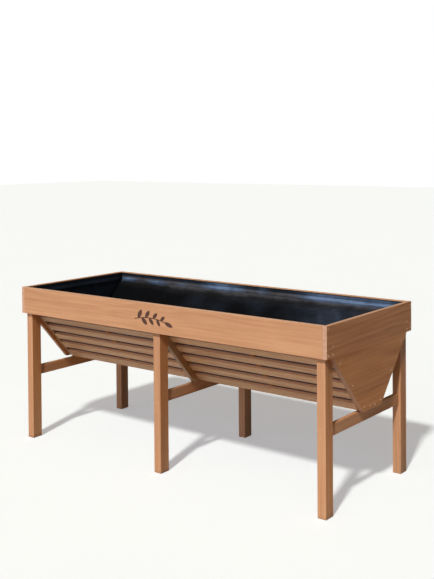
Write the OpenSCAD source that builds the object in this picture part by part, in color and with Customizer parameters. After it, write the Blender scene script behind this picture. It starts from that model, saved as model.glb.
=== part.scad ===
// Raised planter on legs: a slatted V-shaped wooden trough with a fabric liner.
// Units are millimetres. +X runs along the length, +Y to the back, +Z up.
// The origin is on the ground, in the middle of the footprint.

/* [Overall] */
// Length over the two end panels
length = 1800; // [1400:10:2000]
// Depth over the front and back boards
depth = 760; // [680:10:820]
// Height of the top edge above the ground
height = 780; // [700:10:900]

/* [Boards] */
// Thickness of the end panels and of the front and back boards
board_t = 18; // [15:1:22]
// Height of the front and back boards
fascia_h = 134; // [120:1:150]
// How far the underside of the trough is below the top edge
trough_drop = 408; // [380:1:420]
// Width of an end panel along its bottom edge
trough_foot_w = 160; // [150:5:180]
// Length of the level step under each top corner of an end panel
ear_step = 48; // [44:1:54]

/* [Legs and braces] */
// Leg size along the length
leg_w = 40; // [36:1:46]
// Leg size along the depth
leg_d = 58; // [54:1:62]
// Thickness of the cross braces and of the centre ribs
brace_t = 20; // [16:1:24]
// Height of the cross braces
brace_h = 48; // [40:1:54]
// How far a centre rib stands out from the slats
rib_stand = 30; // [20:1:34]

/* [Slats] */
// Width of a slat
slat_w = 40; // [36:1:44]
// Thickness of a slat
slat_t = 14; // [10:1:14]
// Distance from one slat to the next up the slope
slat_pitch = 72; // [68:1:73]
// Slats on one slope
slat_rows = 6; // [4:1:6]
// How far the slats are set in from the sloping edges of the end panels
slat_inset = 14; // [10:1:18]
// Width of the stiles, cleats and inner battens
batten_w = 20; // [16:1:24]
// Thickness of the cleats and inner battens
batten_t = 10; // [8:1:12]
// Width of the two floor slats
floor_slat_w = 43; // [36:1:43]

/* [Liner] */
// Thickness of the liner
liner_t = 3; // [2:0.5:4]
// How far the liner stops below the top edge
liner_drop = 4; // [2:1:10]

/* [Emblem] */
// Overall length of the sprig let into the front board
emblem_l = 240; // [120:10:260]

/* [Hidden] */
slat_sides = ["front", "back"];
halves = ["left", "right"];
leg_places = ["left", "centre", "right"];
slat_nodes = [for (side = slat_sides) for (half = halves) for (row = [1:slat_rows])
    str(side, "_slat_", half, "_", row)];
$fn = 48;

wood_light = [0.80, 0.57, 0.41];
wood_mid = [0.70, 0.48, 0.34];
wood_dark = [0.60, 0.40, 0.28];
liner_black = [0.05, 0.06, 0.07];
screw_tan = [0.70, 0.52, 0.45];
emblem_brown = [0.26, 0.15, 0.12];

// Places along the length and the depth
end_x = length / 2;
panel_in_x = end_x - board_t;
front_y = -depth / 2;
board_in_y = front_y + board_t;
leg_back_y = board_in_y + leg_d;
leg_x = panel_in_x - leg_w / 2;
batten_x = (brace_t / 2 + panel_in_x - batten_w) / 2;

// The sloping edge of an end panel: its foot, its head and its angle
foot_y = -trough_foot_w / 2;
foot_z = height - trough_drop;
head_y = front_y + ear_step;
head_z = height - fascia_h;
slope = atan2(head_z - foot_z, foot_y - head_y);

// Layers of the slope, as depths in from the sloping edge
slat_back = slat_inset + slat_t;
batten_back = slat_back + batten_t;
liner_gap = 0.5;
liner_out = batten_back + liner_gap;
slat_start = -8;

// Heights
brace_top_z = foot_z - 5;
floor_top_z = brace_top_z + slat_t;
cleat_top_z = floor_top_z + batten_t;
liner_top_z = height - liner_drop;
floor_slat_gap = 12;
floor_edge_y = -(floor_slat_gap / 2 + floor_slat_w);

// Screws: shank and head, the length in the wood, and the play round a shank
shank_r = 2;
head_r = 3.6;
head_h = 1.6;
screw_l = 34;
brace_screw_l = 92;
hole_play = 0.05;
recess_w = 0.8;
recess_l = 4;
recess_deep = 0.7;
corner_screw_y = 11;
corner_screw_z = [13, 119];
leg_screw_z = [86, 119];
stile_screw_s = [11, 160, 310];
cleat_screw_y = 20;
outer_leg_screw_z = [70, 102];
centre_leg_screw_x = 12;
brace_screw_z = 18;

emblem_t = 0.8;
emblem_z = height - fascia_h / 2;

// Y of the line that lies in by a given depth from the front sloping edge, at height z
function slope_y(in, z) = foot_y + in / sin(slope) - (z - foot_z) / tan(slope);
// Z of the same line at a given y
function slope_z(in, y) = foot_z + (foot_y + in / sin(slope) - y) * tan(slope);

// Frame on the front slope: local X along the length, local Y up the slope, local Z outwards
module on_slope() {
    translate([0, foot_y, foot_z]) rotate([180 - slope, 0, 0]) children();
}

module back_side(back) {
    if (back) mirror([0, 1, 0]) children();
    else children();
}

module left_half(left) {
    if (left) mirror([1, 0, 0]) children();
    else children();
}

// A profile in the YZ plane, extruded along X between x0 and x1
module along_x(x0, x1, points) {
    translate([x0, 0, 0]) rotate([90, 0, 90]) linear_extrude(x1 - x0) polygon(points);
}

// ---- screws ----

// A screw whose head sits on the XY plane and whose shank runs down -Z
module screw(l) {
    ball_r = (head_r * head_r + head_h * head_h) / (2 * head_h);
    difference() {
        union() {
            intersection() {
                translate([0, 0, head_h - ball_r]) sphere(ball_r);
                cylinder(r = head_r, h = head_h);
            }
            translate([0, 0, -l]) cylinder(r = shank_r, h = l);
        }
        for (turn = [0, 90]) rotate(turn)
            translate([-recess_l / 2, -recess_w / 2, head_h - recess_deep]) cube([recess_l, recess_w, head_h]);
    }
}

// The hole that a screw's shank fills
module screw_hole(l) {
    translate([0, 0, -l - 1]) cylinder(r = shank_r + hole_play, h = l + 2);
}

// Places a screw or its hole
module fixing(l, hole) {
    if (hole) screw_hole(l);
    else screw(l);
}

// The sixteen screws through the right-hand end panel
module end_fixings(hole = false) {
    for (back = [0, 1]) mirror([0, back, 0]) {
        for (drop = corner_screw_z)
            translate([end_x, front_y + corner_screw_y, height - drop]) rotate([0, 90, 0]) fixing(screw_l, hole);
        for (drop = leg_screw_z)
            translate([end_x, (board_in_y + leg_back_y) / 2, height - drop]) rotate([0, 90, 0])
                fixing(screw_l, hole);
        for (s = stile_screw_s)
            on_slope() translate([end_x, s, -(slat_inset + slat_t / 2)]) rotate([0, 90, 0]) fixing(screw_l, hole);
        translate([end_x, -cleat_screw_y, floor_top_z + batten_t / 2]) rotate([0, 90, 0]) fixing(screw_l, hole);
    }
}

// The screws through the front board into the legs
module board_fixings(hole = false) {
    for (left = [0, 1]) mirror([left, 0, 0]) {
        for (drop = outer_leg_screw_z)
            translate([leg_x, front_y, height - drop]) rotate([90, 0, 0]) fixing(screw_l, hole);
        translate([centre_leg_screw_x, front_y, height - outer_leg_screw_z[1]]) rotate([90, 0, 0])
            fixing(screw_l, hole);
    }
}

// The screws through the front legs into the ends of the cross braces
module brace_fixings(hole = false) {
    for (x = [-leg_x, 0, leg_x]) for (dz = [-brace_screw_z, brace_screw_z])
        translate([x, board_in_y, brace_top_z - brace_h / 2 + dz]) rotate([90, 0, 0])
            fixing(brace_screw_l, hole);
}

// ---- boards and frame ----

// The right-hand end panel: a board with a level step under each top corner and sloping edges below
module end_panel() {
    color(wood_mid) difference() {
        along_x(panel_in_x, end_x, [
            [foot_y, foot_z], [-foot_y, foot_z], [-head_y, head_z], [-front_y, head_z],
            [-front_y, height], [front_y, height], [front_y, head_z], [head_y, head_z]
        ]);
        end_fixings(hole = true);
    }
}

// A long board between the end panels; the front one has the pocket for the emblem
module long_board(with_emblem) {
    color(wood_light) difference() {
        translate([-panel_in_x, front_y, head_z]) cube([2 * panel_in_x, board_t, fascia_h]);
        board_fixings(hole = true);
        for (left = [0, 1]) mirror([left, 0, 0]) end_fixings(hole = true);
        if (with_emblem) emblem_body();
    }
}

// A front leg, with its top cut to the line of the liner
module leg(x) {
    color(wood_light) difference() {
        along_x(x - leg_w / 2, x + leg_w / 2, [
            [board_in_y, 0], [leg_back_y, 0],
            [leg_back_y, slope_z(batten_back, leg_back_y)], [board_in_y, slope_z(batten_back, board_in_y)]
        ]);
        board_fixings(hole = true);
        brace_fixings(hole = true);
        for (left = [0, 1]) mirror([left, 0, 0]) end_fixings(hole = true);
    }
}

// A level brace between a front leg and a back leg
module cross_brace(x) {
    color(wood_mid) difference() {
        translate([x - brace_t / 2, leg_back_y, brace_top_z - brace_h])
            cube([brace_t, -2 * leg_back_y, brace_h]);
        for (back = [0, 1]) mirror([0, back, 0]) brace_fixings(hole = true);
    }
}

// The rib on edge down the middle of the front slope, notched over the floor slat
module centre_rib() {
    rib_out = slat_inset - rib_stand;
    color(wood_dark) along_x(-brace_t / 2, brace_t / 2, [
        [slope_y(rib_out, brace_top_z), brace_top_z], [floor_edge_y, brace_top_z],
        [floor_edge_y, floor_top_z], [slope_y(batten_back, floor_top_z), floor_top_z],
        [leg_back_y, slope_z(batten_back, leg_back_y)], [leg_back_y, slope_z(rib_out, leg_back_y)]
    ]);
}

// The stile at the right-hand end of the front slope, flush with the slats
module stile() {
    color(wood_mid) difference() {
        intersection() {
            on_slope() translate([panel_in_x - batten_w, slat_start, -slat_back])
                cube([batten_w, length, slat_t]);
            translate([0, leg_back_y, 0]) cube([length, depth, height]);
        }
        end_fixings(hole = true);
    }
}

// The inner batten halfway along the right-hand half of the front slope
module slope_batten() {
    color(wood_dark) along_x(batten_x - batten_w / 2, batten_x + batten_w / 2, [
        [slope_y(slat_back, floor_top_z), floor_top_z], [slope_y(batten_back, floor_top_z), floor_top_z],
        [board_in_y, slope_z(batten_back, board_in_y)], [board_in_y, slope_z(slat_back, board_in_y)]
    ]);
}

// ---- slats ----

// One slat of the right-hand half of the front slope; the top row fits between the legs
module slope_slat(row) {
    s = slat_start + (row - 1) * slat_pitch;
    clears_legs = slope_y(slat_inset, foot_z) - (s + slat_w) * cos(slope) > leg_back_y;
    x0 = clears_legs ? brace_t / 2 : leg_w / 2;
    x1 = clears_legs ? panel_in_x - batten_w : panel_in_x - leg_w;
    color(wood_mid) on_slope() translate([x0, s, -slat_back]) cube([x1 - x0, slat_w, slat_t]);
}

// A slat of the trough's floor, over the cross braces
module floor_slat() {
    color(wood_mid) translate([-panel_in_x, floor_edge_y, brace_top_z])
        cube([2 * panel_in_x, floor_slat_w, slat_t]);
}

// The cleat that joins the floor slats to the right-hand end panel
module floor_cleat() {
    color(wood_dark) difference() {
        translate([panel_in_x - batten_w, floor_edge_y, floor_top_z]) cube([batten_w, -2 * floor_edge_y, batten_t]);
        end_fixings(hole = true);
    }
}

// The batten across the floor slats, between the front and back slope battens
module floor_batten() {
    reach = -slope_y(batten_back, floor_top_z);
    color(wood_dark) translate([batten_x - batten_w / 2, -reach, floor_top_z])
        cube([batten_w, 2 * reach, batten_t]);
}

// ---- liner and emblem ----

// Outline of the liner's section, set in by the given thickness from its outer face
function liner_outline(t, top) = [
    [board_in_y + t, top],
    [board_in_y + t, slope_z(liner_out + t, board_in_y + t)],
    [slope_y(liner_out + t, cleat_top_z + liner_gap + t), cleat_top_z + liner_gap + t],
    [-slope_y(liner_out + t, cleat_top_z + liner_gap + t), cleat_top_z + liner_gap + t],
    [-board_in_y - t, slope_z(liner_out + t, board_in_y + t)],
    [-board_in_y - t, top]
];

// The fabric liner: an open V-shaped bag that lines the trough up to just under the rim
module liner() {
    color(liner_black) difference() {
        along_x(-panel_in_x, panel_in_x, liner_outline(0, liner_top_z));
        along_x(-panel_in_x + liner_t, panel_in_x - liner_t, liner_outline(liner_t, height + 1));
    }
}

// A leaf with pointed ends: where two circles overlap, from the origin along X
module leaf(l, w) {
    r = (l * l + w * w) / (4 * w);
    intersection() {
        translate([l / 2, r - w / 2]) circle(r, $fn = 96);
        translate([l / 2, w / 2 - r]) circle(r, $fn = 96);
    }
}

// Places a child on the sprig's bowed stem, at angle a from its middle, leaning off the stem
module on_stem(a, lean) {
    bow_r = emblem_l * 1.5;
    translate([bow_r * sin(a), bow_r * (cos(a) - 1)]) rotate(lean - a) children();
}

// A level sprig: a bowed stem with leaves by turns above and below it, and one at the tip
module sprig() {
    bow_r = emblem_l * 1.5;
    stem_w = emblem_l / 60;
    bow = 14.5;
    leaves = 7;
    leaf_l = emblem_l * 0.2;
    translate([-emblem_l * 0.11, 0]) {
        intersection() {
            translate([0, -bow_r]) difference() {
                circle(bow_r + stem_w / 2, $fn = 360);
                circle(bow_r - stem_w / 2, $fn = 360);
            }
            translate([0, -bow_r]) polygon([
                [0, 0], [-2 * bow_r * sin(bow), 2 * bow_r * cos(bow)], [2 * bow_r * sin(bow), 2 * bow_r * cos(bow)]
            ]);
        }
        for (k = [0:leaves - 1])
            on_stem(-bow * 0.78 + k * bow * 0.25, k % 2 == 0 ? 48 : -48)
                leaf(leaf_l * (1 - 0.05 * k), leaf_l * (0.46 - 0.02 * k));
        on_stem(bow * 0.98, -4) leaf(leaf_l * 1.1, leaf_l * 0.4);
    }
}

// The sprig, let into the face of the front board
module emblem_body() {
    translate([0, front_y + emblem_t, emblem_z]) rotate([90, 0, 0]) linear_extrude(emblem_t) sprig();
}

module emblem() {
    color(emblem_brown) emblem_body();
}

// ---- nodes ----

for (left = [false, true]) {
    half = left ? "left" : "right";
    left_half(left) end_panel();
    left_half(left) color(screw_tan) end_fixings();
    left_half(left) floor_cleat();
    left_half(left) floor_batten();
    for (back = [false, true]) back_side(back) {
        side = back ? "back" : "front";
        left_half(left) stile();
        left_half(left) slope_batten();
        for (row = [1:slat_rows])
            left_half(left) slope_slat(row);
    }
}
for (i = [0:2]) {
    x = (i - 1) * leg_x;
    for (back = [false, true]) back_side(back) {
        side = back ? "back" : "front";
        leg(x);
    }
    cross_brace(x);
}
long_board(true);  // front_board
back_side(true) long_board(false);  // back_board
color(screw_tan) board_fixings();  // front_board_screws
back_side(true) color(screw_tan) board_fixings();  // back_board_screws
for (back = [false, true]) back_side(back) color(screw_tan) brace_fixings();  // brace_screws
centre_rib();  // front_centre_rib
back_side(true) centre_rib();  // back_centre_rib
floor_slat();  // floor_slat_front
back_side(true) floor_slat();  // floor_slat_back
liner();
emblem();
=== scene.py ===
"""Raised planter on legs: stained softwood boards around a black fabric liner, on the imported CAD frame."""
import math
import random

import bmesh
import bpy
from mathutils import Matrix, Vector, noise


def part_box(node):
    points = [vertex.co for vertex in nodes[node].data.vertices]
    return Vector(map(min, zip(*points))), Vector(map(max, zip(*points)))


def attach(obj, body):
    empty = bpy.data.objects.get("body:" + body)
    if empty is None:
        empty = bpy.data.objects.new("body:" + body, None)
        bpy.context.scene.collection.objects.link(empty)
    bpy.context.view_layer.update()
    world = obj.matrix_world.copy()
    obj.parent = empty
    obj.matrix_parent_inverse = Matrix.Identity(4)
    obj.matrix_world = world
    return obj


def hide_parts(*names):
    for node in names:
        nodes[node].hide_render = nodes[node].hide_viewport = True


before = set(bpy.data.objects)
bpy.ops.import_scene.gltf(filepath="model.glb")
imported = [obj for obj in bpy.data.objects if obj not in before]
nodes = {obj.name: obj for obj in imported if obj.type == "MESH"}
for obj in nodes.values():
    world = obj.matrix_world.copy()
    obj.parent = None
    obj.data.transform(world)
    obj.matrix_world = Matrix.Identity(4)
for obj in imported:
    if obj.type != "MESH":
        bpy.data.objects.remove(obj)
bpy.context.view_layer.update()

MM = 0.001
X_AXIS, Y_AXIS, Z_AXIS = Vector((1, 0, 0)), Vector((0, 1, 0)), Vector((0, 0, 1))


# ---------------------------------------------------------------- measures read from the frame
WELD = 0.005 * MM                    # points of a CAD mesh closer than this are one
FLAT = 0.01 * MM                     # how far a point of a flat face may be off it
STRAIGHT_ON = 0.9999                 # cosine of the turn above which an outline has no corner


def outline(node_name, normal):
    """The corners, in order, of a node's far face along normal, and how deep the node is that way. Screw
    holes are left out, because the heads cover them."""
    bm = bmesh.new()
    bm.from_mesh(nodes[node_name].data)
    bmesh.ops.remove_doubles(bm, verts=bm.verts, dist=WELD)
    heights = [v.co.dot(normal) for v in bm.verts]
    far, near = max(heights), min(heights)
    cap = {face for face in bm.faces if all(abs(v.co.dot(normal) - far) < FLAT for v in face.verts)}
    links = {}
    for edge in bm.edges:
        if sum(face in cap for face in edge.link_faces) == 1:
            v, w = edge.verts
            links.setdefault(v, []).append(w)
            links.setdefault(w, []).append(v)
    loops = []
    while links:
        loop = [next(iter(links))]
        while loop[-1] in links:
            step = [w for w in links.pop(loop[-1]) if w in links]
            if not step:
                break
            loop.append(step[0])
        loops.append([v.co.copy() for v in loop])
    bm.free()
    widest = max(loops, key=lambda points: sum((p - points[0]).length for p in points) / len(points))
    corners = []
    for before, here, after in zip(widest[-1:] + widest[:-1], widest, widest[1:] + widest[:1]):
        if (here - before).normalized().dot((after - here).normalized()) < STRAIGHT_ON:
            corners.append(here)
    return corners, far - near


def slope_angle():
    """How steep the trough's long sides are, from the longest edge of a slat's section."""
    corners = outline("back_slat_right_3", X_AXIS)[0]
    flat_side = max((q - p for p, q in zip(corners, corners[1:])), key=lambda edge: edge.length)
    return math.atan2(abs(flat_side.z), abs(flat_side.y))


SLOPE = slope_angle()
SLAT_ROWS = sum(name.startswith("front_slat_left_") for name in nodes)


# ---------------------------------------------------------------- shader helpers
def new_material(name):
    mat = bpy.data.materials.new(name)
    mat.use_nodes = True
    tree = mat.node_tree
    tree.nodes.clear()
    out = tree.nodes.new("ShaderNodeOutputMaterial")
    shader = tree.nodes.new("ShaderNodeBsdfPrincipled")
    tree.links.new(shader.outputs["BSDF"], out.inputs["Surface"])
    return mat, tree, shader


def add(tree, kind, inputs=None, **settings):
    """A new shader node; each input is given a value, or is linked when it is another node's socket."""
    n = tree.nodes.new(kind)
    for key, value in settings.items():
        setattr(n, key, value)
    for key, value in (inputs or {}).items():
        if isinstance(value, bpy.types.NodeSocket):
            tree.links.new(value, n.inputs[key])
        else:
            n.inputs[key].default_value = value
    return n


def calc(tree, op, *values, clamp=False):
    return add(tree, "ShaderNodeMath", dict(enumerate(values)), operation=op, use_clamp=clamp).outputs[0]


def times(tree, a, b):
    return calc(tree, "MULTIPLY", a, b)


def vec(tree, op, *values):
    n = add(tree, "ShaderNodeVectorMath", dict(enumerate(values)), operation=op)
    return n.outputs["Value" if op == "LENGTH" else "Vector"]


def split(tree, vector):
    """The x, y and z of a vector."""
    return add(tree, "ShaderNodeSeparateXYZ", {0: vector}).outputs


def attribute(tree, name, output="Vector"):
    return add(tree, "ShaderNodeAttribute", attribute_name=name).outputs[output]


def object_point(tree):
    return add(tree, "ShaderNodeTexCoord").outputs["Object"]


def remap(tree, value, lo, hi, to_lo=0.0, to_hi=1.0):
    """Takes lo..hi to to_lo..to_hi, eased between the two and level beyond them."""
    n = add(tree, "ShaderNodeMapRange",
            {"Value": value, "From Min": lo, "From Max": hi, "To Min": to_lo, "To Max": to_hi},
            interpolation_type="SMOOTHSTEP")
    return n.outputs["Result"]


def noise_of(tree, vector, stretch, detail=3.0, rough=0.55, output="Fac"):
    n = add(tree, "ShaderNodeTexNoise",
            {"Vector": vec(tree, "MULTIPLY", vector, stretch), "Scale": 1.0, "Detail": detail,
             "Roughness": rough})
    return n.outputs[output]


def mix(tree, fac, a, b, blend="MIX"):
    """Two colours mixed; a colour Mix node has them at inputs 6 and 7, and its result at output 2."""
    return add(tree, "ShaderNodeMix", {0: fac, 6: a, 7: b}, data_type="RGBA", blend_type=blend).outputs[2]


def finish_surface(tree, shader, colour, roughness, height, bump_strength, bump_depth):
    """Links a material's colour, roughness and bump to its shader."""
    bump = add(tree, "ShaderNodeBump",
               {"Height": height, "Strength": bump_strength, "Distance": bump_depth})
    tree.links.new(colour, shader.inputs["Base Color"])
    tree.links.new(roughness, shader.inputs["Roughness"])
    tree.links.new(bump.outputs["Normal"], shader.inputs["Normal"])


def rgb(r, g, b):
    """An 8-bit sRGB colour as linear RGBA."""
    def lin(v):
        v /= 255
        return v / 12.92 if v <= 0.04045 else ((v + 0.055) / 1.055) ** 2.4
    return (lin(r), lin(g), lin(b), 1.0)


# ---------------------------------------------------------------- wood
PLY_T = 3.6 * MM                     # thickness of one layer of the end panels
RIPPLE = 4 * MM                      # width of the small waves in the growth rings
KNOT_BROWN = rgb(96, 54, 30)
END_GRAIN_BROWN = rgb(120, 72, 44)
YELLOWER = (1.02, 1.0, 0.86, 1.0)    # what the tone below the seam is multiplied by
TONE_STEP = 0.10                     # what one unit of a board's tone adds to its brightness
SHADE_TINT_STEP = (-0.14, -0.34)            # what one unit of painted side shade adds to its green and its blue


def sway(tree, grain, stretch, reach):
    """Noise that pushes the rings sideways, by at most half of reach each way."""
    push = vec(tree, "SUBTRACT", noise_of(tree, grain, stretch, 2.0, 0.5, "Color"), (0.5, 0.5, 0.5))
    return vec(tree, "MULTIPLY", push, (0.0, reach, reach))


def growth_rings(tree, grain, pitch, wander):
    """The dark late wood of the rings, bent along the board into long arches, rippled and partly faded."""
    bent = vec(tree, "ADD", grain, sway(tree, grain, (0.9, 4.5, 4.5), wander))
    bent = vec(tree, "ADD", bent, sway(tree, grain, (5.0, 30.0, 30.0), RIPPLE))
    radius = vec(tree, "LENGTH", vec(tree, "MULTIPLY", bent, (0.0, 1.0, 1.0)))
    phase = calc(tree, "FRACT", calc(tree, "DIVIDE", radius, pitch))
    late = times(tree, remap(tree, phase, 0.15, 0.82), remap(tree, phase, 1.0, 0.86))
    return times(tree, late, remap(tree, noise_of(tree, grain, (0.7, 14.0, 14.0), 2.0), 0.36, 0.62))


def knots(tree, grain):
    """A few small sound knots, as a mask: one cell in five has one."""
    cell = add(tree, "ShaderNodeTexVoronoi",
               {"Vector": vec(tree, "MULTIPLY", grain, (1.7, 7.0, 7.0)), "Scale": 1.0, "Randomness": 1.0},
               feature="F1", voronoi_dimensions="3D")
    pick = add(tree, "ShaderNodeSeparateColor", {0: cell.outputs["Color"]}).outputs[0]
    spot = remap(tree, cell.outputs["Distance"], 0.085, 0.045)
    return times(tree, spot, calc(tree, "GREATER_THAN", pick, 0.80))


def across_seam(tree, colour, height_at, seam, streak, light):
    """A slightly yellower tone below the seam, and a thin pale line along it."""
    below = remap(tree, height_at, seam + 0.5 * MM, seam - 0.5 * MM)
    colour = mix(tree, times(tree, below, 0.7), colour, mix(tree, 1.0, colour, YELLOWER, "MULTIPLY"))
    line = calc(tree, "COMPARE", height_at, seam, 1.1 * MM)
    return mix(tree, times(tree, line, remap(tree, streak, 0.2, 0.9, 0.2, 0.5)), colour, light)


def edge_colour_and_light(tree, depth, across_thickness, rim, dark, ply):
    """The colour of a sawn edge: paler than the faces, and in layers on a board with a ply. On the slats the
    paler edge also paints light onto their shaded edges.
    """
    cut = mix(tree, depth, rim, mix(tree, 0.35, rim, dark))
    if ply:
        layer = calc(tree, "PINGPONG", calc(tree, "DIVIDE", across_thickness, ply), 1.0)
        cut = mix(tree, times(tree, remap(tree, layer, 0.42, 0.58), 0.3), cut, mix(tree, 0.5, rim, dark))
    return cut


def arris_wear(tree, grain, local, half):
    """Patchy rubbing of the arrises, where the second smallest distance to the board's faces is small."""
    gap = split(tree, vec(tree, "SUBTRACT", half, vec(tree, "ABSOLUTE", local)))
    near = calc(tree, "MAXIMUM", calc(tree, "MINIMUM", gap[0], gap[1]),
                calc(tree, "MINIMUM", calc(tree, "MAXIMUM", gap[0], gap[1]), gap[2]))
    chafe = noise_of(tree, grain, (45.0, 160.0, 160.0), 3.0)
    return times(tree, remap(tree, near, 2.6 * MM, 0.4 * MM), remap(tree, chafe, 0.38, 0.60))


def tone_and_painted_shade(tree, colour, tone, along, half_length):
    """Each board's own tone, less painted shade for a board that sits in shade, and a redder, darker painted
    shade on the side faces of legs, braces and ribs, which is weaker near the end that the board's length is
    measured from, such as a leg's foot."""
    shade_tint = times(tree, attribute(tree, "painted_side_shade", "Fac"),
                remap(tree, calc(tree, "ADD", along, half_length), 0.03, 0.36, 0.15, 1.0))
    bright = calc(tree, "MULTIPLY_ADD", tone, TONE_STEP, 1.0)
    green, blue = (times(tree, bright, calc(tree, "MULTIPLY_ADD", shade_tint, step, 1.0)) for step in SHADE_TINT_STEP)
    tint = add(tree, "ShaderNodeCombineXYZ", {0: bright, 1: green, 2: blue}).outputs[0]
    return vec(tree, "MULTIPLY", colour, tint)


def wood_material(name, light, dark, rim, ring_pitch=5.5 * MM, ring_mix=0.22, rough=0.6, spec=0.35,
                  wander=0.05, ply=None, seam=None):
    """Stained sawn softwood. Everything is laid out in each board's own grain coordinates: x runs along
    the fibres, and y and z are measured from the log's pith, so faces, edges and end grain agree. A board
    with a ply shows its layers on its edges, and one with a seam changes tone across it."""
    mat, tree, shader = new_material(name)
    grain, local, half = (attribute(tree, key) for key in ("grain", "local", "half"))
    tone, end, edge_face = split(tree, attribute(tree, "traits"))
    place = split(tree, local)

    # rings, streaks, fibres, pores and the uneven take-up of the stain
    late = growth_rings(tree, grain, ring_pitch, wander)
    streak = remap(tree, noise_of(tree, grain, (1.6, 70.0, 70.0), 4.0, 0.62), 0.34, 0.68)
    fibre = remap(tree, noise_of(tree, grain, (14.0, 900.0, 900.0), 2.0, 0.6), 0.3, 0.7)
    pores = remap(tree, noise_of(tree, grain, (30.0, 700.0, 700.0), 1.0, 0.5), 0.64, 0.74)
    blotch = remap(tree, noise_of(tree, grain, (2.2, 11.0, 11.0), 3.0), 0.3, 0.7)
    depth = times(tree, late, ring_mix)
    for layer, share in ((streak, 0.26), (fibre, 0.16), (blotch, 0.22)):
        depth = calc(tree, "MULTIPLY_ADD", layer, share, depth)
    depth = calc(tree, "MULTIPLY_ADD", pores, 0.16, depth, clamp=True)

    # sawn edges stay paler, and on the slats this also paints light onto their shaded edges; end grain
    # drinks the stain, arrises are rubbed
    colour = mix(tree, depth, light, dark)
    colour = mix(tree, times(tree, knots(tree, grain), 0.75), colour, KNOT_BROWN)
    if seam:
        colour = across_seam(tree, colour, place[1], seam, streak, light)
    cut = edge_colour_and_light(tree, depth, place[2], rim, dark, ply)
    colour = mix(tree, times(tree, edge_face, 0.85), colour, cut)
    colour = mix(tree, times(tree, end, 0.45), colour, mix(tree, 0.4, dark, END_GRAIN_BROWN))
    colour = mix(tree, times(tree, arris_wear(tree, grain, local, half), 0.45), colour, rim)
    # painted shade: a darker tone for boards that sit in shade, and redder, darker side faces
    colour = tone_and_painted_shade(tree, colour, tone, place[0], split(tree, half)[0])

    roughness = calc(tree, "MULTIPLY_ADD", streak, 0.14, rough - 0.06)
    roughness = calc(tree, "MULTIPLY_ADD", end, 0.15, roughness, clamp=True)
    shader.inputs["Specular IOR Level"].default_value = spec
    height = times(tree, late, 0.5)
    for layer in (fibre, pores):
        height = calc(tree, "MULTIPLY_ADD", layer, -0.6, height)
    finish_surface(tree, shader, colour, roughness, height, 0.5, 0.35 * MM)
    return mat


def panel_seam():
    """Height of the rim's lower edge above the middle of an end panel."""
    low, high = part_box("end_panel_right")
    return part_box("front_board")[0].z - (low.z + high.z) / 2


WOOD = {
    "board_wood": wood_material("board_wood_stained", light=rgb(225, 173, 137), dark=rgb(180, 124, 91),
                                rim=rgb(232, 196, 180), ring_pitch=9.0 * MM, ring_mix=0.17, wander=0.08),
    "panel_wood": wood_material("panel_wood_stained", light=rgb(230, 162, 114), dark=rgb(179, 114, 73),
                                rim=rgb(232, 193, 176), ring_pitch=27.0 * MM, ring_mix=0.36, wander=0.13,
                                ply=PLY_T, seam=panel_seam()),
    "leg_wood": wood_material("leg_wood_stained", light=rgb(223, 171, 135), dark=rgb(180, 120, 88),
                              rim=rgb(232, 192, 165)),
    "slat_wood": wood_material("slat_wood_stained", light=rgb(247, 203, 161), dark=rgb(187, 133, 96),
                               rim=rgb(232, 180, 145), rough=0.5, spec=0.5),
    "inner_wood": wood_material("inner_wood_stained", light=rgb(206, 150, 107), dark=rgb(144, 92, 58),
                                rim=rgb(217, 169, 134)),
}


# ---------------------------------------------------------------- boards
BATTEN_ARRIS = 0.8 * MM
FLOOR_ARRIS = 1.0 * MM
BOARD_ARRIS = 1.2 * MM
BRACE_ARRIS = 1.5 * MM
LEG_ARRIS = 2.0 * MM
FACING = 0.7                         # least cosine at which a face counts as facing a direction
EDGE_ON = 0.5                        # most cosine to the thickness at which a face is a sawn edge


def place_piece(name, mesh, node_name):
    """A new object on the root body, in place of a CAD node."""
    piece = bpy.data.objects.new(name, mesh)
    bpy.context.scene.collection.objects.link(piece)
    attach(piece, "root")
    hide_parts(node_name)
    return piece


def set_layers(mesh, layers):
    """Makes every layer, given as name, kind, domain and values, and only then fills them, because making
    one may move the others."""
    for name, kind, domain, _ in layers:
        mesh.attributes.new(name, kind, domain)
    for name, kind, _, values in layers:
        field = "vector" if kind == "FLOAT_VECTOR" else "value"
        for item, value in zip(mesh.attributes[name].data, values):
            setattr(item, field, value)


def prism(node_name, normal):
    """The board's solid, drawn again from its outline."""
    corners, depth = outline(node_name, normal)
    bm = bmesh.new()
    near = [bm.verts.new(c - normal * depth) for c in corners]
    far = [bm.verts.new(c) for c in corners]
    bm.faces.new(far)
    bm.faces.new(near[::-1])
    for i in range(len(corners)):
        j = (i + 1) % len(corners)
        bm.faces.new((near[i], near[j], far[j], far[i]))
    bmesh.ops.recalc_face_normals(bm, faces=bm.faces)
    return bm


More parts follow.
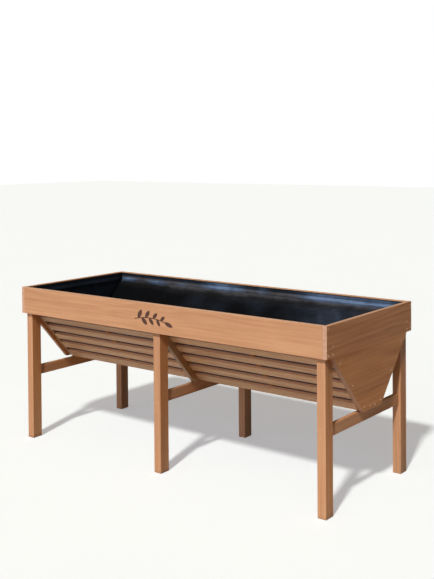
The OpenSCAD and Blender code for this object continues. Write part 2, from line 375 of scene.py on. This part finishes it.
def board(node_name, along, across, normal=X_AXIS, arris=BOARD_ARRIS, rims=False, end_grain=1.0,
          painted_darkening=0.0, painted_side_shade=0.0):
    """A board with eased arrises and its own stretch of grain, in place of its plain CAD solid. Rims makes
    its sawn edges paler, and on the slats this also paints light onto their shaded edges. The last two
    arguments paint shade into it: a darker tone overall and a redder, darker tone on its side faces."""
    rng = random.Random(node_name)
    slot = nodes[node_name].material_slots[0].name
    bm = prism(node_name, normal)
    bmesh.ops.bevel(bm, geom=bm.edges[:], offset=arris, offset_type="OFFSET", segments=3, profile=0.5,
                    affect="EDGES", clamp_overlap=True)
    along, across = along.normalized(), across.normalized()
    thick = along.cross(across)
    points = [Vector((v.co.dot(along), v.co.dot(across), v.co.dot(thick))) for v in bm.verts]
    low = Vector(min(p[i] for p in points) for i in range(3))
    high = Vector(max(p[i] for p in points) for i in range(3))
    mid, half = (low + high) / 2, (high - low) / 2
    pith = Vector((rng.uniform(0, 40), rng.uniform(-0.03, 0.03),
                   rng.uniform(0.05, 0.11) * rng.choice((-1, 1))))
    # the random tone, less the painted shade given to a board that sits in shade
    tone = rng.uniform(-1, 1) - painted_darkening
    bm.normal_update()
    traits, side_shades = [], []
    for face in bm.faces:
        end = end_grain if abs(face.normal.dot(along)) > FACING else 0.0
        edge = 1.0 if rims and abs(face.normal.dot(thick)) < EDGE_ON else 0.0
        traits.append((tone, end, edge))
        # painted shade: the side faces get the redder, darker tone
        side_shades.append(painted_side_shade if abs(face.normal.x) > FACING else 0.0)
    mesh = bpy.data.meshes.new(node_name + "_mesh")
    bm.to_mesh(mesh)
    bm.free()
    set_layers(mesh, [("grain", "FLOAT_VECTOR", "POINT", [p - mid + pith for p in points]),
                      ("local", "FLOAT_VECTOR", "POINT", [p - mid for p in points]),
                      ("half", "FLOAT_VECTOR", "POINT", [half] * len(points)),
                      ("traits", "FLOAT_VECTOR", "FACE", traits),
                      ("painted_side_shade", "FLOAT", "FACE", side_shades)])
    mesh.materials.append(WOOD[slot])
    place_piece("wood_" + node_name, mesh, node_name)


def make_ends():
    for half in ("left", "right"):
        board("end_panel_" + half, Y_AXIS, Z_AXIS, rims=True, end_grain=0.0)
        board("floor_cleat_" + half, Y_AXIS, Z_AXIS, arris=BATTEN_ARRIS)
        board("floor_batten_" + half, Y_AXIS, X_AXIS, arris=BATTEN_ARRIS)


def make_braces():
    # painted shade: the braces are darker and redder, the left and centre ones most
    for place, painted_darkening, painted_side_shade in (("left", 1.7, 1.8), ("centre", 1.7, 1.8), ("right", 0.8, 0.5)):
        board("cross_brace_" + place, Y_AXIS, Z_AXIS, arris=BRACE_ARRIS, painted_darkening=painted_darkening, painted_side_shade=painted_side_shade)


def make_side(face, sign, leg_depths):
    """The boards of one long side: sign is -1 at the front and 1 at the back, and the leg shading says how
    much painted shade darkens its left, centre and right legs."""
    down = Vector((0, -sign * math.cos(SLOPE), -math.sin(SLOPE)))
    outwards = Vector((0, sign * math.sin(SLOPE), -math.cos(SLOPE)))
    board(face + "_board", X_AXIS, Z_AXIS, normal=Y_AXIS * -sign, rims=True)
    board("floor_slat_" + face, X_AXIS, Y_AXIS, arris=FLOOR_ARRIS)
    # painted shade: the centre rib is much darker and redder
    board(face + "_centre_rib", down, outwards, painted_darkening=4.4, painted_side_shade=1.8)
    for place, painted_darkening in zip(("left", "centre", "right"), leg_depths):
        # painted shade: every leg's side faces are redder and darker
        board(f"{face}_leg_{place}", Z_AXIS, X_AXIS, arris=LEG_ARRIS, painted_darkening=painted_darkening, painted_side_shade=1.0)
    for half in ("left", "right"):
        # painted shade: the stiles are darker
        board(f"{face}_stile_{half}", down, X_AXIS, arris=BATTEN_ARRIS, painted_darkening=2.5)
        board(f"{face}_batten_{half}", down, X_AXIS, arris=BATTEN_ARRIS)
        for row in range(1, SLAT_ROWS + 1):
            # the slats' paler edges are partly painted light on their shaded edges in the gaps
            board(f"{face}_slat_{half}_{row}", X_AXIS, down, rims=True)


make_ends()
make_braces()
make_side("front", sign=-1, leg_depths=(0.0, 0.0, 0.0))
# painted shade: the back legs under the trough are darker, the centre one most
make_side("back", sign=1, leg_depths=(1.0, 2.4, 1.0))


# ---------------------------------------------------------------- screws and mark
MARK_PROUD = 0.12 * MM               # how far the mark stands out of the board


def screw_material(name, pale, dull, metal):
    """Painted or coated screw heads, a little worn in patches."""
    mat, tree, shader = new_material(name)
    patch = noise_of(tree, object_point(tree), (900.0, 900.0, 900.0), 3.0)
    colour = mix(tree, remap(tree, patch, 0.4, 0.65), pale, dull)
    shader.inputs["Metallic"].default_value = metal
    finish_surface(tree, shader, colour, remap(tree, patch, 0.3, 0.7, 0.32, 0.5), patch, 0.3, 0.1 * MM)
    return mat


def mark_material():
    """Dark charred wood, uneven across the grain."""
    mat, tree, shader = new_material("burnt_mark")
    char = noise_of(tree, object_point(tree), (60.0, 60.0, 700.0), 3.0)
    colour = mix(tree, remap(tree, char, 0.35, 0.7), rgb(74, 42, 36), rgb(98, 62, 50))
    finish_surface(tree, shader, colour, remap(tree, char, 0.3, 0.7, 0.6, 0.8), char, 0.4, 0.2 * MM)
    return mat


def paint_screws():
    # the end-panel screws get a paler copy of the screw colour: a painted highlight where light catches
    # their domes
    end_highlight_paint = screw_material("screw_painted_highlight", rgb(255, 222, 198), rgb(236, 194, 168), metal=0.3)
    face_paint = screw_material("coated_screw", rgb(222, 176, 150), rgb(190, 142, 116), metal=0.1)
    for name, paint in (("end_screws_left", end_highlight_paint), ("end_screws_right", end_highlight_paint),
                        ("front_board_screws", face_paint), ("back_board_screws", face_paint),
                        ("brace_screws", face_paint)):
        nodes[name].material_slots[0].material = paint


def make_mark():
    """The sprig, as thin as the CAD one and just proud of the board, so that it shows."""
    mesh = nodes["emblem"].data.copy()
    mesh.transform(Matrix.Translation((0, -MARK_PROUD, 0)))
    mesh.materials.clear()
    mesh.materials.append(mark_material())
    place_piece("mark_sprig", mesh, "emblem")


paint_screws()
make_mark()


# ---------------------------------------------------------------- liner
SKIN = 0.9 * MM                      # the cloth's own thickness
INSET = 1.2 * MM                     # its middle, inside the CAD liner's outer face
HEM = 15 * MM                        # depth of the turned-over hem
LENGTH_CELLS = 252                   # cells of the mesh along the trough
END_CELLS = 44                       # and across an end
TOUCH = 1e-6                         # a point this near a wall is on it
ROUNDING = 1e-9                      # how far a length may be off
SHOULDER_BEND = 14 * MM              # half the height over which the wall's lean changes at the shoulder
CORNER_BAND = 14 * MM                # width of the band along the corners that is smoothed
CORNER_PASSES = 3                    # and how many times it is
CORNER_FREE = 42 * MM                # from a corner, where the cloth stands off its wall as far as it can
PUFF, PUFF_PITCH = 1.6, 147 * MM     # height in millimetres of the hem's puffs, and how far apart they are
ROLL, ROLL_AT, ROLL_W = 8.0, 33, 11  # height, depth and width in millimetres of the roll under the hem
FOLD, SLACK, CREASE = 7.5, 5.0, 1.8  # heights in millimetres of the forms further down
GLINTS = (                           # where painted sheen glints on the cloth: place along x, spread and strength
    (-0.83, 0.055, 0.7), (-0.61, 0.05, 0.58), (-0.43, 0.04, 0.18), (-0.155, 0.105, 0.85),
    (0.1, 0.03, 0.2), (0.43, 0.085, 0.65), (0.6, 0.13, 0.7), (0.79, 0.07, 0.65))

# the middle of the cloth: half its length and depth, its top edge, its floor, and where its slope starts
liner_corners = outline("liner", X_AXIS)[0]
liner_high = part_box("liner")[1]
half_x, half_y, top_z = liner_high.x - INSET, liner_high.y - INSET, liner_high.z
floor_z = min(p.z for p in liner_corners) + INSET
floor_y = max(p.y for p in liner_corners if p.z < floor_z) - INSET * math.tan(SLOPE / 2)
shoulder_z = floor_z + (half_y - floor_y) * math.tan(SLOPE)


def liner_material():
    """Black non-woven cloth: needle-punched felt, with painted sheen, a pale and partly blue colour standing
    in for highlights and reflections along its walls.
    """
    mat, tree, shader = new_material("nonwoven_liner")
    where = object_point(tree)
    sheen_amount, sheen_blueness, _ = split(tree, attribute(tree, "painted_sheen"))
    mottle = noise_of(tree, where, (16.0, 16.0, 16.0), 4.0, 0.6)
    brushed = noise_of(tree, where, (26.0, 120.0, 120.0), 4.0, 0.65)
    felt = noise_of(tree, where, (420.0, 420.0, 420.0), 3.0, 0.6)
    pins = add(tree, "ShaderNodeTexVoronoi", {"Vector": where, "Scale": 380.0}, feature="F1")
    colour = mix(tree, remap(tree, mottle, 0.35, 0.7), rgb(2, 2, 4), rgb(4, 6, 9))
    colour = mix(tree, remap(tree, felt, 0.5, 0.75, 0.0, 0.3), colour, rgb(11, 13, 17))
    # painted sheen: pale, partly blue colour that stands in for highlights and reflections on the cloth
    sheen_mix = times(tree, sheen_amount, remap(tree, brushed, 0.25, 0.75, 0.7, 1.25))
    sheen_mix = calc(tree, "MULTIPLY", sheen_mix, remap(tree, mottle, 0.3, 0.6, 0.85, 1.1), clamp=True)
    colour = mix(tree, sheen_mix, colour, mix(tree, sheen_blueness, rgb(134, 134, 150), rgb(108, 132, 176)))
    # below the shoulder the outside of the cloth faces down and gets painted sheen, a pale lilac colour
    # standing in for light on it
    facing = split(tree, add(tree, "ShaderNodeNewGeometry").outputs["True Normal"])[2]
    below = remap(tree, split(tree, where)[2], shoulder_z, shoulder_z - 20 * MM)
    outside_sheen = times(tree, remap(tree, facing, -0.1, -0.4), below)
    colour = mix(tree, outside_sheen, colour, rgb(172, 168, 198))
    shader.inputs["Specular IOR Level"].default_value = 0.07
    height = calc(tree, "MULTIPLY_ADD", pins.outputs["Distance"], -0.5, felt)
    finish_surface(tree, shader, colour, remap(tree, mottle, 0.3, 0.7, 0.7, 0.85), height, 0.6, 0.5 * MM)
    return mat


def smooth(lo, hi, value):
    t = min(1.0, max(0.0, (value - lo) / (hi - lo)))
    return t * t * (3 - 2 * t)


def swell(*where):
    """Seedless noise from -1 to 1."""
    return noise.noise(Vector(where))


def wave(*where):
    """Seedless noise from 0 to 1."""
    return 0.5 + 0.5 * swell(*where)


def bell(value, middle, spread):
    return math.exp(-((value - middle) / spread) ** 2)


def stride(s):
    """How far the section's next point is: near at the top edge and at the hem's end, further below."""
    if s < 1 * MM or HEM - 3 * MM < s < HEM + 2 * MM:
        return 1.5 * MM
    return 3.0 * MM if s < 100 * MM else 6.5 * MM


def section():
    """The liner's section from the front hem, down the slope, over the floor and up to the back hem, as
    (y, z) points close together at the hem and further apart below."""
    corners = [Vector((-half_y, top_z)), Vector((-half_y, shoulder_z)), Vector((-floor_y, floor_z)),
               Vector((0, floor_z))]
    total = sum((b - a).length for a, b in zip(corners, corners[1:]))
    steps = [0.0]
    while steps[-1] < total:
        steps.append(steps[-1] + stride(steps[-1]))
    steps[-1] = total
    front = []
    for s in steps:
        for a, b in zip(corners, corners[1:]):
            run = (b - a).length
            if s <= run + ROUNDING:
                front.append(a.lerp(b, s / run))
                break
            s -= run
    return front + [Vector((-p.x, p.y)) for p in reversed(front[:-1])]


def close_end(bm, row):
    """Fills one end of the trough, in rows of cells from the front half of the section to the back."""
    mid, last_index = len(row) // 2, len(row) - 1
    last = row[:mid + 1]
    for k in range(1, END_CELLS + 1):
        new = []
        for j in range(mid + 1):
            front, back = row[j], row[last_index - j]
            if k == END_CELLS:
                new.append(back)
            elif j == mid:
                new.append(row[mid])
            else:
                new.append(bm.verts.new(front.co.lerp(back.co, k / END_CELLS)))
        for j in range(mid):
            quad = [last[j], last[j + 1], new[j + 1], new[j]]
            if quad[1] is quad[2]:      # the rows meet in the middle of the section
                quad.pop(2)
            bm.faces.new(quad)
        last = new


def trough_mesh():
    """One cloth: the long trough and its two ends, joined along the corners."""
    line = section()
    bm = bmesh.new()
    rows = []
    for i in range(LENGTH_CELLS + 1):
        x = -half_x + 2 * half_x * i / LENGTH_CELLS
        rows.append([bm.verts.new((x, p.x, p.y)) for p in line])
    for row, following in zip(rows, rows[1:]):
        for j in range(len(line) - 1):
            bm.faces.new((row[j], row[j + 1], following[j + 1], following[j]))
    for row in (rows[0], rows[-1]):
        close_end(bm, row)
    bmesh.ops.recalc_face_normals(bm, faces=bm.faces)
    return bm


def inward(co):
    """Unit step from the trough's wall into the trough, at a point on the liner. On a long side it is level
    above the shoulder, leans up over the bend there, and is square to the slope below."""
    if abs(co.x) > half_x - TOUCH:
        return Vector((-math.copysign(1, co.x), 0, 0))
    if abs(co.y) <= floor_y + TOUCH:
        return Vector((0, 0, 1))
    lean = SLOPE * smooth(-SHOULDER_BEND, SHOULDER_BEND, shoulder_z - co.z)
    if lean >= SLOPE:
        lean = math.pi / 2 - SLOPE
    return Vector((0, -math.copysign(math.cos(lean), co.y), math.sin(lean)))


def place_on_cloth(co):
    """Whether a point is on an end, u along its wall, s down the cloth from the top edge, side, which sets
    the noise of one wall apart from another's, and how far it is from the nearest corner."""
    end = abs(co.x) > half_x - TOUCH
    on_slope = co.z <= shoulder_z
    s = top_z - co.z
    if on_slope and not end:
        s = (top_z - shoulder_z) + (shoulder_z - co.z) / math.sin(SLOPE)
    u = co.y + 3.0 if end else co.x
    side = 0.0 if end else math.copysign(1.7, co.y)
    width = floor_y + (co.z - floor_z) / math.tan(SLOPE) if on_slope else half_y
    corner = width - abs(co.y) if end else half_x - abs(co.x)
    return end, u, s, side, corner


def lift(u, s, side, corner):
    """How far the cloth stands off its wall, in millimetres: the hem's second layer, its puffs and the
    roll under it, then folds, slack and creases further down. At the corners it stays on the wall."""
    free = smooth(0.0, CORNER_FREE, corner)
    below = smooth(HEM, HEM + 22 * MM, s)
    ply = 1 - smooth(HEM - 1 * MM, HEM + 1 * MM, s)
    puff = PUFF * math.sin(math.pi * (u + side) / PUFF_PITCH) ** 2 * wave(u * 4, side, 1.0)
    puff *= smooth(0, 12 * MM, s)
    roll_at = (ROLL_AT + 5 * swell(u * 4.2, side, 7.0)) * MM
    roll = ROLL * wave(u * 6.5, side, 2.5) * bell(s, roll_at, ROLL_W * MM)
    bent_u = u + 0.03 * swell(u * 2.0, s * 5.0, side + 4.0)
    folds = FOLD * wave(bent_u * 9.5, s * 1.6, side + 8.0) ** 2 * (1 - 0.7 * smooth(0.1, 0.42, s))
    slack = SLACK * wave(u * 2.7, s * 3.0, side + 3.0)
    ridge = max(0.0, 1 - 2.6 * abs(swell(u * 13.0 + s * 7.0, s * 10.0, side + 5.0)))
    creases = CREASE * ridge ** 3
    return free * (ply + puff + roll + below * (folds + slack + creases))


def painted_sheen_at(end, u, s, side, corner):
    """How much painted sheen the cloth gets, from 0 to 1, and how blue it is: pale colour standing in for
    the cloth's highlights and reflections. There is a painted glint under the hem, a painted haze that fades
    down it, a painted strip along the hem, and faint painted sheen low down."""
    if end:
        return 0.012 + 0.05 * smooth(0, 40 * MM, corner), 1.0
    shine = sum(strength * bell(u, at, spread) for at, spread, strength in GLINTS)
    shine *= 0.75 + 0.5 * wave(u * 31.0, s * 60.0, side)
    peak = (32 - 6.5 * smooth(-0.5, -0.2, u)) * MM
    glint = shine * bell(s, peak, (7.5 if s < peak else 13.5) * MM)
    fade = 40 + 13 * smooth(-0.56, -0.46, u) + 9 * bell(u, -0.06, 0.13)
    fade = (fade + 8 * swell(u * 7.3, side, 11.0) + 6 * swell(u * 23.0, s * 8.0, side + 12.0)) * MM
    dense = 1 - smooth(fade - 12 * MM, fade + 18 * MM, s)
    thin = 1 - smooth(fade, fade + 60 * MM, s)
    sheen_haze = 0.25 * smooth(12 * MM, 24 * MM, s) * (0.8 * dense + 0.2 * thin)
    hem_sheen = (0.08 + 0.62 * min(1.0, shine) * smooth(-0.5, -0.2, u)) * smooth(2 * MM, 5 * MM, s)
    hem_sheen *= 1 - 0.5 * smooth(HEM - 3 * MM, HEM, s) - 0.5 * smooth(HEM + 2 * MM, HEM + 9 * MM, s)
    crease = max(0.0, 1 - 3.0 * abs(swell(u * 11.0 - s * 9.0, s * 14.0, side + 20.0)))
    cloud = smooth(0.3, 0.85, wave(u * 6.0, s * 9.0, side + 15.0))
    low = 0.007 + 0.05 * cloud * smooth(-0.56, -0.4, u)
    low = (low + 0.14 * smooth(0.15, 0.6, u) * (0.6 + 0.4 * crease)) * smooth(50 * MM, 100 * MM, s)
    pale = sheen_haze + glint + hem_sheen + low
    return min(1.0, pale), min(1.0, (1.7 * glint + hem_sheen + 0.8 * low) / (pale + 1e-4))


def drape(bm):
    """Moves each point off its wall, and returns each one's painted sheen and how blue it is."""
    painted_sheen = []
    for v in bm.verts:
        co = v.co.copy()
        end, u, s, side, corner = place_on_cloth(co)
        v.co = co + inward(co) * MM * lift(u, s, side, corner)
        painted_sheen.append((*painted_sheen_at(end, u, s, side, corner), 0.0))
    return painted_sheen


def make_liner():
    bm = trough_mesh()
    painted_sheen = drape(bm)
    near_corner = [v for v in bm.verts if abs(abs(v.co.x) - half_x) < CORNER_BAND]
    for _ in range(CORNER_PASSES):
        bmesh.ops.smooth_vert(bm, verts=near_corner, factor=0.5, use_axis_x=True, use_axis_y=True,
                              use_axis_z=False)
    mesh = bpy.data.meshes.new("liner_cloth")
    bm.to_mesh(mesh)
    bm.free()
    set_layers(mesh, [("painted_sheen", "FLOAT_VECTOR", "POINT", painted_sheen)])
    mesh.polygons.foreach_set("use_smooth", [True] * len(mesh.polygons))
    mesh.materials.append(liner_material())
    cloth = place_piece("liner_cloth", mesh, "liner")
    skin = cloth.modifiers.new("skin", "SOLIDIFY")
    skin.thickness = SKIN
    skin.offset = 0.0


make_liner()


# ---------------------------------------------------------------- floor, light and camera
FLOOR_SIZE = 60
LAMP_LIFT = 12 * MM                  # the two lamps that stand for light off the floor lie this high
SUN_DISTANCE = 6                     # only where its object stands; a sun's light doesn't depend on it
CAMERA_PLACE = (2.7344, -3.5342, 1.4739)
CAMERA_TURN, CAMERA_DIP, CAMERA_TILT = 0.6845, 0.0190, 0.0082    # in radians
LENS, SENSOR_WIDTH = 57.17, 36.0     # in millimetres
SHIFT_X, SHIFT_Y = 0.0646, -0.2086   # as shares of the frame's longer side
FAR_CLIP = 200


def make_floor():
    """A pale matt floor that glows a little. The floor lamps stand for its light on the planter, so its
    own is left out of the diffuse light."""
    bpy.ops.mesh.primitive_plane_add(size=FLOOR_SIZE, location=(0, 0, 0))
    floor = bpy.context.active_object
    floor.name = "studio_floor"
    mat, tree, shader = new_material("pale_floor")
    cloud = noise_of(tree, object_point(tree), (1.5, 1.5, 1.5), 3.0)
    tree.links.new(mix(tree, cloud, rgb(232, 240, 252), rgb(236, 244, 255)), shader.inputs["Base Color"])
    for socket, value in (("Roughness", 0.9), ("Specular IOR Level", 0.1),
                          ("Emission Color", (0.84, 0.88, 0.96, 1.0)), ("Emission Strength", 0.38)):
        shader.inputs[socket].default_value = value
    floor.data.materials.append(mat)
    floor.visible_diffuse = False


def make_world():
    """A studio that the camera sees as white, and that lights the planter from soft bands: a low and a
    higher one on its left and behind it, a low and a higher one in front of it, and a dim ceiling."""
    world = bpy.data.worlds.new("studio")
    bpy.context.scene.world = world
    world.use_nodes = True
    tree = world.node_tree
    tree.nodes.clear()
    x, y, z = split(tree, add(tree, "ShaderNodeTexCoord").outputs["Generated"])
    low = times(tree, remap(tree, z, -0.3, -0.15), remap(tree, z, 0.2, 0.1))
    middle = times(tree, remap(tree, z, 0.1, 0.2), remap(tree, z, 0.7, 0.5))
    ahead = remap(tree, y, -0.5, -0.8)
    left = remap(tree, calc(tree, "SUBTRACT", y, x), -0.2, 0.4)
    ahead_left = times(tree, ahead, remap(tree, x, 0.35, 0.05))
    colour = mix(tree, remap(tree, z, 0.5, 0.7), (0.008, 0.005, 0.003, 1), (0.18, 0.12, 0.05, 1))
    for band, way, light in ((middle, left, (0.07, 0.06, 0.02, 1)),
                             (low, left, (0.9, 0.75, 0.5, 1)),
                             (middle, ahead, (0.60, 0.56, 0.54, 1)),
                             (low, ahead_left, (1.45, 1.42, 1.45, 1))):
        colour = mix(tree, times(tree, band, way), colour, light)
    lit = add(tree, "ShaderNodeBackground", {"Color": colour, "Strength": 1.0}).outputs[0]
    seen = add(tree, "ShaderNodeBackground", {"Color": (1, 1, 1, 1), "Strength": 1.0}).outputs[0]
    to_camera = add(tree, "ShaderNodeLightPath").outputs["Is Camera Ray"]
    shown = add(tree, "ShaderNodeMixShader", {0: to_camera, 1: lit, 2: seen}).outputs[0]
    add(tree, "ShaderNodeOutputWorld", {"Surface": shown})


def place_light(data, place, towards):
    lamp = bpy.data.objects.new(data.name, data)
    bpy.context.scene.collection.objects.link(lamp)
    lamp.location = place
    lamp.rotation_euler = (Vector(towards) - lamp.location).to_track_quat("-Z", "Y").to_euler()
    return lamp


def sun(name, direction, power, angle, colour):
    """A distant lamp in the given direction, angle wide."""
    data = bpy.data.lights.new(name, "SUN")
    data.energy, data.angle, data.color = power, angle, colour
    place_light(data, Vector(direction).normalized() * SUN_DISTANCE, (0, 0, 0))


def floor_lamp(name, x, y, size, power, colour):
    """Light off the floor: a rectangle that lies just above it and shines up, itself unseen."""
    data = bpy.data.lights.new(name, "AREA")
    data.shape, data.size, data.size_y = "RECTANGLE", size[0], size[1]
    data.energy, data.color = power, colour
    lamp = place_light(data, (x, y, LAMP_LIFT), (x, y, 1.0))
    lamp.visible_camera = False
    lamp.visible_glossy = False


def make_camera():
    data = bpy.data.cameras.new("camera")
    camera = bpy.data.objects.new("camera", data)
    bpy.context.scene.collection.objects.link(camera)
    camera.location = CAMERA_PLACE
    camera.rotation_euler = (math.pi / 2 - CAMERA_DIP, CAMERA_TILT, CAMERA_TURN)
    data.sensor_width, data.lens = SENSOR_WIDTH, LENS
    data.shift_x, data.shift_y = SHIFT_X, SHIFT_Y
    data.clip_end = FAR_CLIP
    bpy.context.scene.camera = camera


make_floor()
make_world()
sun("key", direction=(0.19, -0.66, 0.72), power=2.52, angle=math.radians(4.0), colour=(1.0, 0.97, 0.83))
floor_lamp("floor_bounce", 0.0, -1.2, size=(3.4, 2.2), power=6.0, colour=(1.0, 0.77, 0.43))
floor_lamp("side_bounce", 1.3, 0.05, size=(0.7, 1.3), power=0.6, colour=(1.0, 0.66, 0.25))
make_camera()
bpy.context.scene.view_settings.view_transform = "Standard"
bpy.context.scene.view_settings.look = "None"
